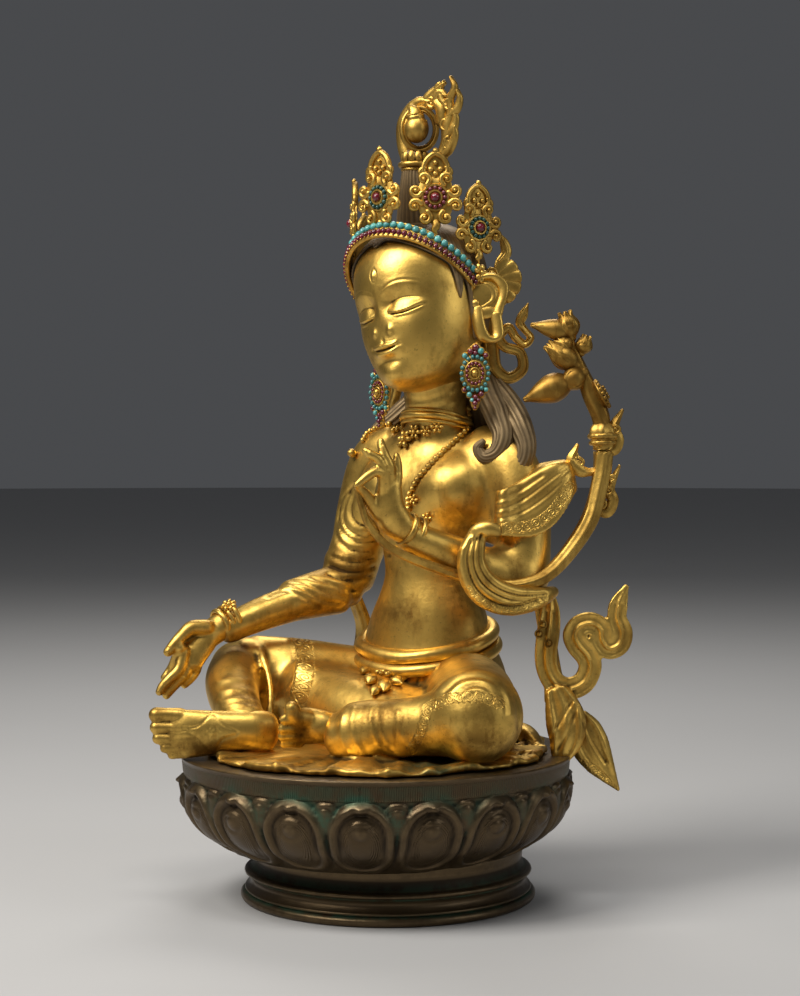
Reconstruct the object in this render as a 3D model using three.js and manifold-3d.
// A seated Tara figure in gilt cast copper, at ease on a round lotus plinth of dark bronze.
// Millimetres. +Z is up, the figure looks along -Y, its own left hand is towards +X.
// The origin is the centre of the plinth's flat underside.
// The figure's own points are written at its design height, measured up from the plinth's top,
// and scaled to figureHeight, so that its pose and carving keep their proportions.
import * as THREE from "three";
import { mergeVertices } from "three/addons/utils/BufferGeometryUtils.js";
import Module from "manifold-3d";

const wasm = await Module();
wasm.setup();

// Driving dimensions
const figureHeight = 404; // plinth's top to the tip of the flame
const designHeight = 404; // the height at which the figure's points below are written
const pieceGap = 0.3; // clearance between two castings that touch
const cutGap = 0.45; // how much a casting is swollen to cut its seat in the next one
const bodyDetail = 1.5; // relief finer than this is smoothed away on body, dress and hair
const handDetail = 0.9; // the same on hands, feet and the seat's cloth
const trimDetail = 0.65; // the same on crown, ribbons, stem and sash ends
const weld = 0.06; // corners on one edge closer than this are made one
const touching = 0.002; // corners this close that share no edge only touch

const plinth = {
  footRadius: 86,
  footBeadRadius: 2.7,
  footBandHeight: 15,
  ringRadius: 84.5,
  ringHalfHeight: 1.9,
  neckRadius: 82,
  neckHeight: 11,
  bowlHeight: 58,
  rimRadius: 118,
  lean: [-5.8, -4.2], // the bowl sits this far off the foot's axis, as cast
  petals: 18,
  petalStart: -57.5, // plan angle of one petal's middle, degrees
  petalSwell: 12, // how far a petal stands out of the bowl
  tipSwell: 6, // the same for the tip of a petal of the row behind
  columnsPerPetal: 4,
  turnedSides: 28,
};
const cloth = { radius: 104, reach: 5, wave: 2.2, thickness: 4.6, points: 30 };
const viewTurn = 36; // the sprays and sash ends stand square to this bearing, degrees from -Y

const finish = {
  gilt: new THREE.MeshStandardMaterial({ color: 0xc39a45, metalness: 1, roughness: 0.34 }),
  giltDull: new THREE.MeshStandardMaterial({ color: 0x8d6b34, metalness: 1, roughness: 0.5 }),
  bronze: new THREE.MeshStandardMaterial({ color: 0x4a3c2e, metalness: 0.8, roughness: 0.5 }),
  inlay: new THREE.MeshStandardMaterial({ color: 0x3d8f84, metalness: 0.1, roughness: 0.45 }),
};

const k = figureHeight / designHeight;
const ringZ = plinth.footBandHeight + plinth.ringHalfHeight;
const bowlZ = plinth.footBandHeight + 2 * plinth.ringHalfHeight + plinth.neckHeight;
const plinthTop = bowlZ + plinth.bowlHeight;
const rad = THREE.MathUtils.degToRad;
const up = [0, 0, 1];

// A design point above the plinth's top, in the part's own frame.
const at = ([x, y, z]) => new THREE.Vector3(x * k, y * k, z * k + plinthTop + pieceGap);

// A design point from its place in the plane square to the viewing bearing:
// r across to the right, z up, b forwards out of the plane.
const facing = ([r, z, b]) => [
  r * Math.cos(rad(viewTurn)) + b * Math.sin(rad(viewTurn)),
  r * Math.sin(rad(viewTurn)) - b * Math.cos(rad(viewTurn)),
  z,
];
const outOfPlane = facing([0, 0, 1]);

// A closed geometry as a solid that can be joined and cut.
function solid(geometry) {
  const bare = geometry.clone();
  for (const name of Object.keys(bare.attributes)) if (name !== "position") bare.deleteAttribute(name);
  const merged = mergeVertices(bare, 1e-3);
  return new wasm.Manifold(
    new wasm.Mesh({
      numProp: 3,
      vertProperties: merged.attributes.position.array,
      triVerts: new Uint32Array(merged.index.array),
    }),
  );
}

const join = (solids) => solids.reduce((sum, next) => sum.add(next));

// The same solid without pockets sealed inside it or specks beside it.
const filled = (shape) => join(shape.decompose().filter((body) => body.volume() > 1));

// The same solid with relief finer than the detail size smoothed away.
const lighter = (shape, detail) => filled(filled(shape.asOriginal()).simplify(detail));

// A solid cut to sit against its swollen neighbours.
const seated = (shape, ...neighbours) =>
  lighter(neighbours.flat().reduce((rest, next) => rest.subtract(next), shape), weld);

// The same for a small piece, lighter first.
const trim = (shape, ...neighbours) => seated(lighter(shape, trimDetail), ...neighbours);

function toGeometry(shape) {
  const raw = shape.getMesh();
  return new THREE.BufferGeometry()
    .setAttribute("position", new THREE.BufferAttribute(new Float32Array(raw.vertProperties), 3))
    .setIndex(new THREE.BufferAttribute(new Uint32Array(raw.triVerts), 1));
}

// The named corners of a geometry, each moved along its own normal.
function shifted(geometry, corners, by) {
  const moved = geometry.clone();
  moved.computeVertexNormals();
  const { position, normal } = moved.attributes;
  const corner = new THREE.Vector3();
  for (const i of corners) {
    corner.fromBufferAttribute(normal, i).multiplyScalar(by);
    corner.add(new THREE.Vector3().fromBufferAttribute(position, i));
    position.setXYZ(i, corner.x, corner.y, corner.z);
  }
  moved.deleteAttribute("normal");
  return moved;
}

// The same solid swollen by the gap.
function offset(shape, gap) {
  const geometry = toGeometry(shape);
  const corners = Array.from({ length: geometry.attributes.position.count }, (_, i) => i);
  return solid(shifted(geometry, corners, gap));
}

// The geometry with corners that only touch one another drawn back into the metal.
function parted(geometry) {
  const { position } = geometry.attributes;
  const places = new Map();
  for (let i = 0; i < position.count; i++) {
    const key = new THREE.Vector3().fromBufferAttribute(position, i).divideScalar(touching).round().toArray().join();
    places.set(key, [...(places.get(key) ?? []), i]);
  }
  const shared = [...places.values()].filter((corners) => corners.length > 1);
  return shifted(geometry, shared.flat(), -weld);
}

// The solids that cut a seat with a gap all round, inner corners too.
const swollen = (shape, gap) => [offset(shape, gap), offset(shape, gap / 2), shape];

// Rings of points joined into one closed skin, with a point at each end.
function skin(rings, first, last) {
  const sides = rings[0].length;
  const points = [first, ...rings.flat(), last];
  const faces = [];
  const id = (ring, side) => 1 + ring * sides + (side % sides);
  for (let s = 0; s < sides; s++) {
    faces.push(0, id(0, s + 1), id(0, s));
    faces.push(points.length - 1, id(rings.length - 1, s), id(rings.length - 1, s + 1));
    for (let r = 0; r + 1 < rings.length; r++)
      faces.push(id(r, s), id(r, s + 1), id(r + 1, s + 1), id(r, s), id(r + 1, s + 1), id(r + 1, s));
  }
  return new THREE.BufferGeometry()
    .setAttribute("position", new THREE.Float32BufferAttribute(points.flatMap((p) => p.toArray()), 3))
    .setIndex(faces);
}

// A limb: an oval section carried along a smooth line through the stations.
// Each station is [x, y, z, half size across, other half size].
function limb(stations, { across = up, sides = 10, steps = 5, cap = 0.7, place = at } = {}) {
  const line = new THREE.CatmullRomCurve3(stations.map(place), false, "centripetal");
  const last = stations.length - 1;
  const side0 = place(across).sub(place([0, 0, 0]));
  const size = (t, i) => {
    const n = Math.min(last - 1, Math.floor(t * last));
    const value = (s) => (s[i] ?? s[3]) * k;
    const w = t * last - n;
    return THREE.MathUtils.lerp(value(stations[n]), value(stations[n + 1]), w * w * (3 - 2 * w));
  };
  const ring = (t, shift, share) => {
    const along = line.getTangent(t).normalize();
    const centre = line.getPoint(t).addScaledVector(along, shift);
    const side = side0.clone().addScaledVector(along, -side0.dot(along)).normalize();
    const other = new THREE.Vector3().crossVectors(along, side);
    return Array.from({ length: sides }, (_, s) => {
      const angle = (2 * Math.PI * (s + 0.5)) / sides;
      return centre
        .clone()
        .addScaledVector(side, Math.cos(angle) * size(t, 3) * share)
        .addScaledVector(other, Math.sin(angle) * size(t, 4) * share);
    });
  };
  const capLength = (t) => Math.min(size(t, 3), size(t, 4)) * cap;
  const tip = (t, sign) => line.getPoint(t).addScaledVector(line.getTangent(t).normalize(), sign * capLength(t));
  const rings = Array.from({ length: steps + 1 }, (_, i) => ring(i / steps, 0, 1));
  if (cap > 0.4) {
    rings.unshift(ring(0, -capLength(0) * 0.7, 0.7));
    rings.push(ring(1, capLength(1) * 0.7, 0.7));
  }
  return solid(skin(rings, tip(0, -1), tip(1, 1)));
}

// A tube or flat sash in the plane square to the viewing bearing: stations [r, z, b, thin, wide].
function sash(stations, { sides = 6, steps = 12, cap = 0.6 } = {}) {
  const placed = stations.map(([r, z, b, thin, wide]) => [...facing([r, z, b]), thin, wide]);
  return limb(placed, { across: outOfPlane, sides, steps, cap });
}

// Oval rings with any lean: each is its centre and its two half axes.
function loft(rows, { sides = 14, place = at } = {}) {
  const o = place([0, 0, 0]);
  const rings = rows.map(([centre, a, b]) => {
    const c = place(centre);
    const half = [a, b].map((axis) => place(axis).sub(o));
    return Array.from({ length: sides }, (_, s) => {
      const angle = (2 * Math.PI * s) / sides;
      return c.clone().addScaledVector(half[0], Math.cos(angle)).addScaledVector(half[1], Math.sin(angle));
    });
  });
  const made = solid(skin(rings, place(rows[0][0]), place(rows.at(-1)[0])));
  return made.volume() > 0 ? made : solid(skin(rings.reverse(), place(rows.at(-1)[0]), place(rows[0][0])));
}

// A round or oval lump: centre, three half sizes and turns about X, Y and Z in degrees.
function lump(centre, sizes, { turn = [0, 0, 0], across = 12, rows = 8, place = at } = {}) {
  const ball = new THREE.SphereGeometry(1, across, rows);
  ball.rotateX(Math.PI / 2);
  ball.scale(...sizes.map((s) => s * k));
  ball.applyMatrix4(new THREE.Matrix4().makeRotationFromEuler(new THREE.Euler(...turn.map(rad), "ZYX")));
  const o = place([0, 0, 0]);
  const axes = [[1, 0, 0], [0, 1, 0], up].map((a) => place(a).sub(o).divideScalar(k));
  ball.applyMatrix4(new THREE.Matrix4().makeBasis(...axes));
  const c = place(centre);
  ball.translate(c.x, c.y, c.z);
  return solid(ball);
}

// A flat plate cut to an outline: its face looks along the bearing (degrees from -Y), tipped back.
function plate(outline, thickness, centre, bearing, tip = 0) {
  const shape = new THREE.Shape(outline.map(([x, y]) => new THREE.Vector2(x, y)));
  const geometry = new THREE.ExtrudeGeometry(shape, { depth: thickness, bevelEnabled: false });
  geometry.translate(0, 0, -thickness / 2);
  geometry.scale(k, k, k);
  geometry.rotateX(Math.PI / 2 - rad(tip));
  geometry.rotateZ(rad(bearing));
  const c = at(centre);
  geometry.translate(c.x, c.y, c.z);
  return solid(geometry);
}

// The plinth: a turned foot, and a bowl of lotus petals under a plain rim
function footSolid() {
  const p = plinth;
  const bead = p.footBeadRadius;
  const profile = [
    [0, 0],
    [p.footRadius, 0],
    [p.footRadius + bead, bead],
    [p.footRadius, 2 * bead],
    [p.ringRadius - 1, 2 * bead + 1],
    [p.ringRadius - 2, p.footBandHeight],
    [p.ringRadius + p.ringHalfHeight, ringZ],
    [p.neckRadius, ringZ + p.ringHalfHeight + 0.5],
    [p.neckRadius, bowlZ + 4],
    [0, bowlZ + 4],
  ];
  const turned = new THREE.LatheGeometry(profile.map(([r, z]) => new THREE.Vector2(r, z)), plinth.turnedSides);
  turned.rotateX(Math.PI / 2);
  return solid(turned);
}

// Height up the bowl as a share, radius of the valleys, share of the petal's swell and of the tip's.
const bowlRows = [
  [0, 84, 0, 0],
  [0.1, 91, 0.4, 0],
  [0.26, 98, 0.95, 0],
  [0.48, 105, 1, 0.2],
  [0.68, 110, 0.5, 1],
  [0.79, 114, 0, 0],
];

function bowlSolid() {
  const p = plinth;
  const columns = p.petals * p.columnsPerPetal;
  const ring = (z, radius) =>
    Array.from({ length: columns }, (_, c) => {
      const angle = rad(p.petalStart) + (2 * Math.PI * c) / columns;
      const share = 2 * Math.abs((c / p.columnsPerPetal) % 1 - 0.5);
      const r = radius(share);
      return new THREE.Vector3(p.lean[0] + r * Math.cos(angle), p.lean[1] + r * Math.sin(angle), z);
    });
  const rows = bowlRows.map(([rise, valley, swell, tip]) =>
    ring(bowlZ + rise * p.bowlHeight, (share) => {
      const petal = p.petalSwell * swell * Math.sqrt(Math.max(0, share - 0.06));
      return valley + petal + p.tipSwell * tip * (1 - share) ** 1.5;
    }),
  );
  const rim = [
    [plinthTop - 1.5, p.rimRadius],
    [plinthTop, p.rimRadius - 1.2],
  ].map(([z, r]) => ring(z, () => r));
  const middle = (z) => new THREE.Vector3(...p.lean, z);
  return solid(skin([...rows, ...rim], middle(bowlZ), middle(plinthTop)));
}

// The cloth that the figure sits on, spread flat with a rippled edge
function seatCloth() {
  const bearing = rad(viewTurn - 90);
  const ring = (inset, z, ripple) =>
    Array.from({ length: cloth.points }, (_, i) => {
      const angle = (2 * Math.PI * i) / cloth.points;
      const wave = Math.sin(7 * angle + 1) + 0.6 * Math.sin(13 * angle);
      const r = cloth.radius + cloth.reach * Math.cos(angle - bearing) + cloth.wave * wave - inset;
      const lift = ripple * Math.sin(11 * angle);
      return at([plinth.lean[0] + r * Math.cos(angle), plinth.lean[1] + r * Math.sin(angle), z + lift]);
    });
  const rings = [
    ring(2, 0, 0),
    ring(0, cloth.thickness * 0.45, 0.4),
    ring(3, cloth.thickness, 0.9),
  ];
  return solid(skin(rings, at([0, 0, 0]), at([0, 0, cloth.thickness * 0.8])));
}

// Trunk, neck and breasts
function trunkSolids() {
  const trunk = [
    [2, 42, 12, 53, 41],
    [2.2, 41, 40, 52, 40],
    [2.2, 39, 63, 46, 35],
    [3.5, 38, 80, 41, 32],
    [3, 39, 102, 29, 23],
    [3.2, 39.5, 125, 33, 26],
    [4, 40, 152, 39, 28],
    [4, 43, 174, 42, 23],
    [6, 43, 188, 25, 18],
    [7, 42, 197, 19, 18],
  ];
  const neck = [[7, 42, 188, 19.5, 18], [7, 40, 205, 18.5, 18], [7.2, 37, 228, 19, 19]];
  const side = [1, 0, 0];
  return [
    limb(trunk, { across: side, sides: 14, steps: 11, cap: 0.1 }),
    limb(neck, { across: side, sides: 10, steps: 2, cap: 0.2 }),
    lump([27, 25, 156], [20, 19, 20]),
    lump([-18, 25, 156], [19, 18, 20]),
    lump([3, 18, 76], [28, 15, 22]),
  ];
}

// Legs: the right one bent with its foot forward and the sole shown, the left one folded before it
function legSolids() {
  const rightThigh = [[-22, 38, 31, 28, 27], [-58, 16, 38, 22.5, 22], [-96, -20, 45, 20, 20]];
  const rightShin = [[-97, -24, 44, 18, 18], [-83, -46, 38, 17, 17], [-63, -66, 28, 14.5, 14.5], [-48, -74, 20, 11.5, 12]];
  const leftThigh = [[30, 36, 31, 28, 27], [60, 2, 32, 27, 27], [86, -32, 31, 26, 26]];
  const leftShin = [[86, -36, 28, 21, 20], [60, -42, 24, 18, 17], [36, -48, 21, 16.5, 15.5], [12, -55, 19, 12, 12]];
  const kneeFold = [
    [-93, -13, 62, 3.5], [-77, -27, 56, 4.5], [-67, -32, 46, 5.5], [-58, -40, 36, 6], [-54, -46, 24, 6.5], [-52, -52, 8, 7],
  ];
  const lap = [[-74, -2, 22, 20, 16], [-44, -22, 20, 22, 17], [-8, -28, 18, 22, 18], [30, -26, 16, 20, 16]];
  const hem = [[32, -49, 21, 17, 17], [18, -53, 17, 18.5, 18], [10, -55, 15, 15.5, 16]];
  return [
    limb(rightThigh, { sides: 11, steps: 3 }),
    limb(rightShin, { sides: 10, steps: 4 }),
    limb(leftThigh, { sides: 11, steps: 3 }),
    limb(leftShin, { sides: 10, steps: 4 }),
    limb(kneeFold, { sides: 5, steps: 6 }),
    limb(lap, { sides: 6, steps: 3, cap: 0.2 }),
    limb(hem, { sides: 10, steps: 2, cap: 0.15 }),
    lump([30, -66, 3], [9, 6, 5], { across: 8, rows: 6 }),
    lump([84, 12, 10], [24, 34, 15], { across: 10, rows: 7 }),
  ];
}

// A finger or toe through its joints, of one thickness
const digit = (points, r) =>
  limb(points.map((p) => [...p, r]), { across: [0.31, 0.17, 0.94], sides: 5, steps: points.length - 1, cap: 0.9 });

function footSolids() {
  const rightFoot = [[-42, -74, 15, 12, 9], [-56, -88, 15, 13.5, 8], [-68, -98, 15, 15, 7], [-77, -107, 16, 14.5, 5.5]];
  const leftFoot = [[8, -56, 20, 11, 9], [-4, -63, 22, 12, 8.5], [-14, -69, 22, 13, 7.5]];
  const rightToes = [26.5, 18, 11.5, 7, 3].map((z, i) => {
    const [root, tip] = [[79, 78, 77, 75, 72][i], [88, 88.5, 87, 83.5, 80][i]];
    return digit([[-root, -root - 29, z], [-tip, -tip - 27.5, z]], i ? 3.1 : 3.9);
  });
  const leftToes = [31, 24.5, 19.5, 15, 11].map((z, i) =>
    digit([[-12, -67, z - 2], [-18, -71, z], [i ? -20 : -17, i ? -72 : -71.5, i ? z - 4 : z + 1]], i ? 3.2 : 4.8),
  );
  return [
    limb(rightFoot, { sides: 12, steps: 4 }),
    limb(leftFoot, { sides: 10, steps: 3 }),
    ...rightToes,
    ...leftToes,
  ];
}

// Arms, with the cloth wound round them and their bracelets
function armSolids() {
  const leftArm = [[34, 46, 178, 18, 15], [56, 45, 171, 18, 17], [69, 42, 140, 17, 16.5], [73, 38, 108, 15, 15]];
  const leftForearm = [[72, 37, 107, 15, 15], [60, 14, 114, 13, 13], [46, -9, 125, 10.5, 10.5], [37, -24, 133, 9, 8.5]];
  const rightArm = [[-24, 44, 181, 16, 14], [-42, 44, 172, 16.5, 15.5], [-51, 41, 140, 16, 15.5], [-54, 34, 98, 14.5, 14]];
  const rightForearm = [[-54, 32, 95, 14, 14], [-66, 8, 89, 12, 11.5], [-80, -22, 81, 10, 10], [-89, -45, 75.5, 8.5, 8]];
  const sleeve = [[-44, 44, 158, 16.5, 17], [-50, 42, 130, 17.5, 17.5], [-53, 36, 112, 17, 17]];
  const sleeveBand = [[-54, 35, 108, 17.5, 17.5], [-55, 32, 98, 16.5, 16.5]];
  const windings = [[-57, 24, 92, 15.5, 15.5], [-64, 12, 89.5, 14.5, 14.5], [-72, -4, 86, 13, 13]];
  const shawl = [[158, 0.8, 20], [155, 1, 20], [143, 1, 13], [137, 0.9, 10]].map(([z, share, rise]) => [
    facing([87, z, 7]),
    facing([24 * share, rise * share, 0]),
    facing([0, 0, 21 * share]),
  ]);
  return [
    limb(leftArm, { across: [1, 0, 0], steps: 5 }),
    limb(leftForearm, { sides: 9, steps: 3 }),
    limb(rightArm, { across: [1, 0, 0], steps: 5 }),
    limb(rightForearm, { sides: 9, steps: 4 }),
    limb(sleeve, { across: [1, 0, 0], steps: 3, cap: 0.2 }),
    limb(sleeveBand, { across: [1, 0, 0], steps: 1, cap: 0.3 }),
    limb(windings, { sides: 9, steps: 2, cap: 0.2 }),
    loft(shawl),
    limb([[-84, -32, 79, 11.5], [-88, -42, 76.5, 11]], { sides: 10, steps: 1, cap: 0.2 }),
    limb([[41, -16, 129.5, 11.6], [37.5, -23, 132.5, 11]], { sides: 10, steps: 1, cap: 0.2 }),
  ];
}

function handSolids() {
  return [
    limb([[-89, -45, 75, 8.5, 6.5], [-96, -54, 70, 11, 6.5], [-99, -62, 60, 11, 5.5], [-100, -66, 53, 10.5, 4.5]], {
      across: [1, -0.6, 0], sides: 8, steps: 4,
    }),
    digit([[-93, -56, 74], [-98, -68, 72], [-102, -75, 66], [-107, -81, 58]], 3.4),
    digit([[-93, -64, 56], [-95, -70, 46], [-98, -75, 38]], 2.7),
    digit([[-98, -66, 54], [-101, -73, 41], [-106, -82, 33]], 2.8),
    digit([[-104, -65, 55], [-107, -71, 42], [-111, -81, 33]], 2.8),
    digit([[-106, -61, 57], [-111, -66, 45], [-115, -73, 36]], 2.6),
    limb([[37, -25, 133, 8.5, 7.5], [31, -34, 141, 11, 7], [28, -41, 150, 10.5, 6], [29, -42, 156, 9.5, 5]], {
      across: [0.75, 0.35, -0.4], sides: 8, steps: 4,
    }),
    digit([[33, -41, 152], [38, -42, 163], [38, -42, 171], [36, -41, 179]], 2.7),
    digit([[30, -42, 156], [32, -42, 169], [30, -44, 176], [27, -43, 187]], 2.7),
    digit([[27, -42, 156], [29, -43, 169], [26, -47, 175], [20, -50, 182]], 2.6),
    digit([[24, -42, 156], [30, -45, 165], [28, -50, 168.5], [24, -53, 166], [18.5, -54, 160]], 2.5),
    digit([[26, -37, 138], [21, -43, 146], [19, -48, 153], [17.5, -52, 158]], 3.1),
  ];
}

// The head, in its own frame with the face towards -Y, is turned and tilted onto the neck
const headTurn = new THREE.Matrix4()
  .makeRotationZ(rad(-6))
  .multiply(new THREE.Matrix4().makeRotationY(rad(-11)))
  .multiply(new THREE.Matrix4().makeRotationX(rad(3)));
const headCentre = new THREE.Vector3(3.5, 33.4, 263);
const onHead = (p) => at(new THREE.Vector3(...p).applyMatrix4(headTurn).add(headCentre).toArray());

// Each row of the head: height, half width, how far it reaches forwards and backwards.
const headRows = [
  [-45, 14, 35, 8],
  [-40, 23, 39.5, 14],
  [-30, 31, 41.5, 22],
  [-16, 35.5, 42.5, 32],
  [0, 38.5, 42, 38],
  [16, 39.5, 42.5, 40],
  [30, 38.5, 40, 40],
  [42, 33, 33, 36],
  [51, 22, 21, 26],
];

function headSolids() {
  const sides = 18;
  const rings = headRows.map(([z, wide, front, back]) =>
    Array.from({ length: sides }, (_, s) => {
      const angle = (2 * Math.PI * (s + 0.5)) / sides;
      const y = Math.sin(angle) * (Math.sin(angle) < 0 ? front : back);
      return onHead([Math.cos(angle) * wide, y, z]);
    }),
  );
  const place = onHead;
  const face = solid(skin(rings, onHead([0, -16, -48]), onHead([0, 2, 55])));
  const nose = limb([[0, -39, 12, 2, 3], [0, -44, 2, 3, 4], [0, -45.5, -9, 5.5, 4.5]], {
    across: [1, 0, 0], sides: 6, steps: 2, place,
  });
  const lips = limb([[-9, -38.5, -20.5, 2, 2], [0, -42.5, -21.5, 3.4, 3], [9, -38.5, -20.5, 2, 2]], {
    sides: 6, steps: 3, place,
  });
  const ears = [-1, 1].map((s) =>
    limb([[s * 38, 2, 20, 3, 6], [s * 40.5, 1, 9, 4, 9], [s * 41, -1, -8, 3, 6], [s * 40.5, -2, -29, 2.5, 5]], {
      across: [1, 0, 0], sides: 8, steps: 5, place,
    }),
  );
  return [face, nose, lips, lump([0, -34, -37], [10, 8, 8], { across: 8, rows: 6, place }), ...ears];
}

// Hair: a cap over the skull, a fall behind the neck, two curled locks on each shoulder, the topknot
function hairSolids() {
  const place = onHead;
  const cap = lump([0, 3, 16], [40, 41, 41.5], { across: 14, rows: 9, place });
  const brow = lump([0, -45, -14], [52, 42, 52.5], { across: 12, rows: 8, place });
  const fall = limb([[5, 60, 268, 33, 20], [6, 64, 235, 30, 15], [6, 65, 205, 36, 13], [6, 64, 184, 38, 9]], {
    across: [1, 0, 0], sides: 10, steps: 4,
  });
  const locks = [
    [[36, 50, 219, 7, 7], [50, 42, 204, 8, 7.5], [60, 36, 188, 6.5, 6], [62, 34, 183, 5, 5]],
    [[42, 52, 213, 7, 7], [60, 47, 199, 9, 8], [68, 43, 184, 7, 6.5], [71, 42, 180, 5, 5]],
    [[-20, 56, 208, 8, 7], [-32, 50, 198, 8, 7], [-42, 44, 190, 6, 5]],
  ].map((lock) => limb(lock, { sides: 6, steps: 3 }));
  const knot = limb([[-1, 37, 302, 16, 16], [-2, 33, 322, 12, 12], [-1, 29, 340, 9, 9], [0, 27.5, 358, 6, 6]], {
    across: [1, 0, 0], sides: 8, steps: 3, cap: 1,
  });
  return [cap.subtract(brow), fall, ...locks, knot];
}

// A cord or roll round an oval, level across and tipped fore and aft
function roll(centre, wide, deep, thick, { tip = 0, to = 350, count = 14 } = {}) {
  const line = Array.from({ length: count + 1 }, (_, i) => {
    const angle = rad((to * i) / count);
    const z = centre[2] - tip * Math.sin(angle);
    return [centre[0] + wide * Math.cos(angle), centre[1] + deep * Math.sin(angle), z, thick];
  });
  return limb(line, { sides: 5, steps: count, cap: 0.5 });
}

// Dress: girdle and its jewel, neck ring and its jewel, and the loop of shawl on the left forearm
function dressSolids() {
  const girdle = [0, 1].map((i) => roll([2.2, 38.5, 66 - i * 9], 46 + i * 3, 36 + i * 2.5, 4.8 - i, { tip: 8 }));
  const loop = [
    [53.5, 133, 38, 4, 5], [50.5, 121, 42, 4, 7], [51, 108, 43, 4, 8.5], [59, 97, 40, 4.5, 9.5],
    [73, 90.5, 33, 4.5, 9.5], [88, 92, 23, 4.5, 7], [97, 96, 12, 4, 4],
  ];
  const innerLoop = [
    [61, 131, 40, 3, 4], [62, 117, 42, 3.5, 4.5], [69, 105, 39, 4, 5], [82, 100, 29, 4, 4.5], [95, 99, 14, 3.5, 3.5],
  ];
  return [
    ...girdle,
    roll([7, 41, 196.5], 21.5, 20.5, 2.2, { tip: 5, count: 12 }),
    lump([4, 23, 186], [9, 5, 6], { across: 8, rows: 6 }),
    lump([-3, 1, 55], [14, 8, 9], { across: 8, rows: 6 }),
    lump([-10, -1, 46], [7, 6, 8], { across: 8, rows: 6 }),
    sash(loop, { sides: 6, steps: 8 }),
    sash(innerLoop, { sides: 5, steps: 6 }),
  ];
}

function figureSolid() {
  const body = join([
    ...trunkSolids(),
    ...legSolids(),
    ...armSolids(),
    ...headSolids(),
    ...hairSolids(),
    ...dressSolids(),
  ]);
  const ends = join([seatCloth(), ...footSolids(), ...handSolids()]);
  const under = new THREE.BoxGeometry(400 * k, 400 * k, 60);
  under.translate(0, 0, plinthTop + pieceGap - 30);
  const whole = lighter(body, bodyDetail).add(ends.asOriginal().simplify(handDetail));
  return lighter(whole.subtract(solid(under)), handDetail);
}

// The crown: a jewelled band over the hair from ear to ear, and five standing leaves
const crown = { halfWidth: 5.6, halfThickness: 2.2, span: 98 };

function bandRow(turn) {
  const a = rad(turn);
  const centre = [43.5 * Math.sin(a), 4 - 40 * Math.cos(a), 15 + 35 * Math.cos(a)];
  const wide = [0, 0.66 * crown.halfWidth, 0.75 * crown.halfWidth];
  const thin = [Math.sin(a), -0.75 * Math.cos(a), 0.66 * Math.cos(a)].map((c) => c * crown.halfThickness);
  return [centre, wide, thin];
}

// A leaf's outline: a lobed body round the jewel and a round-headed finial over it.
function leafOutline(size) {
  const count = 10;
  const lobes = Array.from({ length: count + 1 }, (_, i) => {
    const angle = Math.PI * (0.64 + (1.72 * i) / count);
    const r = size * (i === count / 2 ? 1.6 : 0.94 + 0.1 * Math.cos(4 * angle + Math.PI));
    return [r * Math.cos(angle), r * Math.sin(angle)];
  });
  const head = [80, 35, -35, -80].map((turn) => [
    size * 0.5 * Math.sin(rad(turn)),
    size * (1.4 + 0.55 * Math.cos(rad(turn))),
  ]);
  return [...lobes, ...head];
}

function leafSolids({ centre, bearing, size }) {
  const towards = [Math.sin(rad(bearing)), -Math.cos(rad(bearing)), 0];
  const jewel = centre.map((c, i) => c + towards[i] * 2.6);
  return [
    plate(leafOutline(size), 3.4, centre, bearing),
    lump(jewel, [size * 0.5, 3.2, size * 0.5], { turn: [0, 0, bearing], across: 8, rows: 4 }),
  ];
}

const leaves = [
  { centre: [-1.5, -2, 331], bearing: -6, size: 15 },
  { centre: [27, 11, 330], bearing: 30, size: 14.5 },
  { centre: [42, 34, 313], bearing: 62, size: 14 },
  { centre: [-33, 11, 318], bearing: -52, size: 13.5 },
  { centre: [-43, 34, 300], bearing: -88, size: 13.5 },
];

function crownSolid(figure) {
  const turns = Array.from({ length: 13 }, (_, i) => crown.span * (i / 6 - 1));
  const band = loft(turns.map(bandRow), { sides: 6, place: onHead });
  const whole = join([band, ...leaves.flatMap(leafSolids)]);
  return trim(whole, figure);
}

// The flaming jewel on the topknot
function jewelSolid(figure) {
  const bearing = 0;
  const flame = [
    [-14, -20], [-6, -26], [4, -25], [14, -20], [20, -12], [25, -2], [23, 7], [27, 14], [25, 24], [22.5, 30],
    [16, 23], [7, 23], [-3, 19], [-11, 14], [-16, 5], [-18, -8],
  ];
  const whole = join([
    plate(flame, 4, [5, 29, 373], bearing, -4),
    lump([5, 23, 375], [9, 8, 11], { turn: [0, 0, bearing], across: 8, rows: 6 }),
    lump([0.5, 27, 351], [9.5, 9, 9], { across: 8, rows: 6 }),
  ]);
  return trim(whole, figure);
}

const earring = (centre, bearing) => [
  lump(centre, [8.6, 3.2, 10.6], { turn: [0, 0, bearing], across: 8, rows: 6 }),
  lump([centre[0], centre[1], centre[2] + 13], [4, 2.4, 4.5], { turn: [0, 0, bearing], across: 6, rows: 4 }),
  lump([centre[0], centre[1], centre[2] - 14], [3.4, 2.4, 6.5], { turn: [0, 0, bearing], across: 6, rows: 4 }),
];

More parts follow.
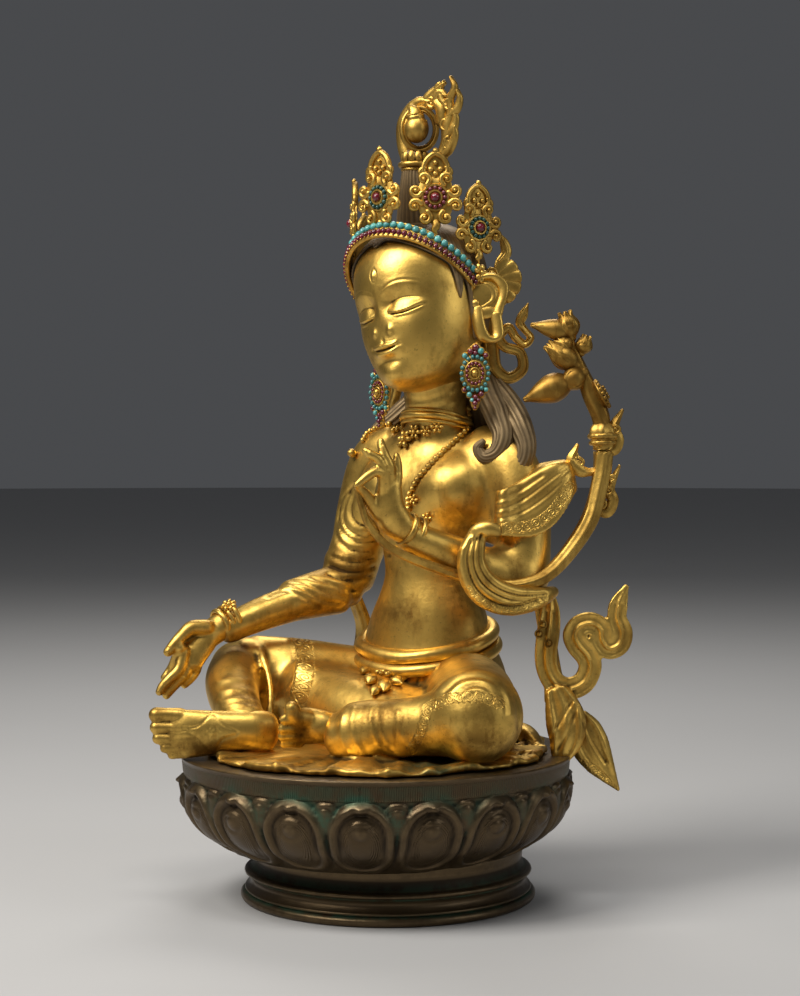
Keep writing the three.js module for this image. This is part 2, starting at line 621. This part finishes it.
// The crown's ribbon behind one ear: a fan, a hanging end and a spiral; far is the plainer, hidden one
function ribbonSolids(mirror) {
  const line = [
    [62.5, 284, -19, 2.5, 4.5], [62.3, 262, -19, 2.5, 4.8], [62.5, 244, -18, 2.5, 4.6], [65, 230, -17, 2.5, 4],
    [73, 223.5, -17, 2.5, 3.6], [81.5, 229, -17, 2.5, 3.4], [80, 239, -17, 2.4, 3.2], [71, 242.5, -17, 2.4, 3.2],
    [67.5, 248.5, -17, 2.3, 3.2], [73, 254, -17, 2.2, 2.8], [77.5, 248, -17, 2.2, 2.6], [83, 244, -17, 2.2, 2.4],
    [86.5, 248, -17, 2, 2.2], [83, 252.5, -17, 2, 2], [80, 257, -17, 2, 2.6], [82, 262, -17, 1.8, 3], [84.5, 268, -17, 1.2, 1.2],
  ];
  const placed = line.map(([r, z, b, thin, wide]) => {
    const [x, y, zz] = facing([r, z, b]);
    return mirror ? [6 - x, y + 6, zz - 15, thin, wide] : [x, y, zz, thin, wide];
  });
  const across = mirror ? [-outOfPlane[0], outOfPlane[1], 0] : outOfPlane;
  const fan = [[-2, -16], [6, -13], [11, -5], [11, 3], [8, 14], [4, 24], [1, 24], [-3, 12], [-7, 3], [-8, -4]];
  const centre = mirror ? [-37.5, 57.5, 271] : [43.5, 51.5, 286];
  const bearing = mirror ? -40 : 40;
  return [
    limb(placed, { across, sides: 4, steps: 24, cap: 0.6 }),
    plate(mirror ? fan.map(([x, y]) => [-x, y]).reverse() : fan, 3.6, centre, bearing),
    lump(centre.map((c, i) => c + (mirror ? [6, -8, 0] : [-6, -7.4, 0.6])[i]), [7, 6, 6], { across: 8, rows: 6 }),
  ];
}

// The lotus stem from the raised hand, outside the elbow and up beside the shoulder
function stemSolid() {
  const stem = [
    [19, -56, 158, 1.8], [20, -53, 149, 2.1], [22, -49, 138, 2.5], [29, -42, 126, 2.9], [39, -33, 118.5, 3.2],
    [50, -20, 112, 3.4], [60, -5, 106, 3.5], [71, 9, 101, 3.6], [84, 21, 101.5, 3.8], [93, 34, 108, 4.2],
    [100, 50, 124, 4.8], [105, 61, 141, 5.2], [108.5, 66, 162, 5.4], [109.5, 67.5, 178, 5.8], [109, 67, 190, 8.4],
  ];
  const scroll = [
    [129, 183, 10, 2, 2.5], [134, 180, 10, 2, 3.5], [137, 186, 10, 2, 3.5], [134.5, 194, 10, 2, 3.5], [139, 203, 10, 1.6, 1.6],
  ];
  const lowScroll = [
    [122, 147, 10, 2, 2.5], [130, 143, 10, 2, 3.5], [134, 150, 10, 2, 3.5], [132, 157, 10, 2, 3.5], [137.5, 170, 10, 1.4, 1.4],
  ];
  const innerScroll = [[126, 168, 10, 2, 2.5], [120, 167, 11, 2, 2.5], [114, 168, 12, 2, 4], [109, 174, 12, 2, 3.5], [112, 182, 12, 1.6, 1.8]];
  const whole = join([
    limb(stem, { sides: 6, steps: 12, cap: 0.3 }),
    sash(scroll, { sides: 4, steps: 6 }),
    sash(lowScroll, { sides: 4, steps: 6 }),
    sash(innerScroll, { sides: 4, steps: 5 }),
  ]);
  return trim(whole);
}

// The spray of flowers and buds over the stem's collar
function bloomSolids() {
  const stem = [[109, 67, 193, 4.5], [108, 66, 201, 5.5], [104, 63.5, 212, 5.5], [99, 61, 225, 4], [93, 58, 240, 3.5], [90, 56, 250, 4]];
  const bud = (root, tip, wide) => {
    const share = (t) => root.map((c, i) => c + (tip[i] - c) * t);
    return limb([[...share(0), wide * 0.6], [...share(0.35), wide], [...share(0.75), wide * 0.65], [...share(1), 0.6]], {
      sides: 6, steps: 3, cap: 0.5,
    });
  };
  const disc = { turn: [0, 62, 36], across: 12, rows: 6 };
  return [
    limb(stem, { sides: 6, steps: 6 }),
    bud([92, 57, 250], [75, 44, 254], 6.5),
    bud([92, 55, 222], [73, 39, 210], 9.5),
    bud([94, 57, 232], [82, 50, 240], 8.5),
    bud([100, 60, 226], [90, 51, 217], 8),
    bud([92, 57, 240], [87, 52, 244], 6),
    lump([91, 56, 253], [8.5, 7, 7.5], { across: 8, rows: 5 }),
    lump([98, 61, 244], [5.5, 5, 6.5], { across: 6, rows: 5 }),
    lump([108, 66.5, 213], [11.5, 9.5, 3.4], disc),
  ];
}

// The sash end beside the left hip: three turns of flat ribbon over a pointed, folded end
function sashEndSolid(figure) {
  const ribbon = [
    [96.5, 93, 12, 2.2, 2.4], [96.3, 84, 14, 2.4, 4.2], [95.3, 73, 17, 2.5, 4.8], [93.9, 61, 17, 2.5, 4.6], [94.5, 51, 17, 2.5, 4.5],
    [98.7, 42.4, 17, 2.5, 4.5], [107, 38.5, 17, 2.5, 4.6], [115.9, 42, 17, 2.5, 4.6], [120, 50.8, 17, 2.5, 4.8],
    [118.3, 58, 17, 2.5, 5], [113, 64.4, 17, 2.5, 5], [110.6, 70.5, 17, 2.5, 4.8], [114, 76, 17, 2.5, 4.6],
    [120.7, 77.5, 17, 2.5, 4.6], [126, 74, 17, 2.5, 4.6], [127, 67.4, 17, 2.5, 4.6], [131, 62.6, 17, 2.5, 4.6],
    [137, 65, 17, 2.5, 4.6], [139, 72, 17, 2.5, 4.4], [136, 80.5, 17, 2.5, 4], [137, 89, 17, 2.3, 4], [141.2, 99, 17, 1.4, 1.6],
  ];
  const backStrap = [[95, 91, 8, 2.2, 4], [97, 74, 9, 2.2, 6], [101, 60, 12, 2.2, 6], [102, 48, 14, 2.2, 5], [101, 32, 16, 2.4, 6]];
  const leftFlap = [[95, 40, 17, 2, 3], [100, 26, 21, 3, 6], [98, 13, 30, 3.5, 8], [101, 2, 38, 3.2, 5], [105, -7, 43, 2, 2.4]];
  const midFlap = [[104, 38, 17, 2.4, 6], [112, 24, 20, 3.4, 9], [111, 11, 28, 3.4, 8], [107, 0, 39, 2.6, 4]];
  const rightFlap = [[114, 20, 19, 2.6, 5], [122, 10, 20, 3.6, 10], [129, -2, 20, 3.4, 9], [134, -12, 21, 2.8, 5], [138, -22, 22, 1.4, 1.8]];
  const whole = join([
    sash(ribbon, { sides: 4, steps: 24 }),
    sash(backStrap, { steps: 8 }),
    sash(leftFlap, { steps: 5, sides: 6 }),
    sash(midFlap, { steps: 4, sides: 6 }),
    sash(rightFlap, { steps: 5, sides: 8 }),
  ]);
  return trim(whole, figure);
}

// The plain sash end behind the right thigh, from the sleeve down to the cloth
function rightSashSolid(figure) {
  const line = [[-58, 43, 86, 3, 7], [-56, 50, 66, 3, 8], [-60, 50, 40, 3, 10], [-66, 46, 16, 3, 12], [-66, 46, 7, 2.6, 12]];
  return trim(limb(line, { across: [0.3, 0.95, 0], sides: 8, steps: 6 }), figure);
}

const mesh = (name, shape, material) => {
  const made = new THREE.Mesh(parted(toGeometry(shape)), material);
  made.name = name;
  return made;
};

const stem = stemSolid();
const figure = seated(figureSolid(), swollen(stem, cutGap));
const seat = swollen(figure, cutGap);
const stemCut = swollen(stem, cutGap);
const lotusPlinth = join([footSolid(), bowlSolid()]);
const plinthCut = swollen(lotusPlinth, cutGap);
const crownBody = crownSolid(seat);
const crownCut = swollen(crownBody, cutGap);
const root = new THREE.Group();
root.add(
  mesh("lotus_plinth", lotusPlinth, finish.bronze),
  mesh("figure", figure, finish.gilt),
  mesh("crown", crownBody, finish.gilt),
  mesh("topknot_jewel", jewelSolid(seat), finish.gilt),
  mesh("earring_left", trim(join(earring([48.5, 21.5, 225.5], 30)), seat), finish.inlay),
  mesh("earring_right", trim(join(earring([-20, 20, 215], -14)), seat), finish.inlay),
  mesh("crown_ribbon_left", trim(join(ribbonSolids(false)), seat, crownCut), finish.gilt),
  mesh("crown_ribbon_right", trim(join(ribbonSolids(true)), seat, crownCut), finish.gilt),
  mesh("lotus_stem", stem, finish.gilt),
  mesh("lotus_blooms", trim(join(bloomSolids()), stemCut), finish.giltDull),
  mesh("scarf_end_left", seated(sashEndSolid(seat), plinthCut), finish.gilt),
  mesh("scarf_end_right", seated(rightSashSolid(seat), plinthCut), finish.gilt),
);

export default root;
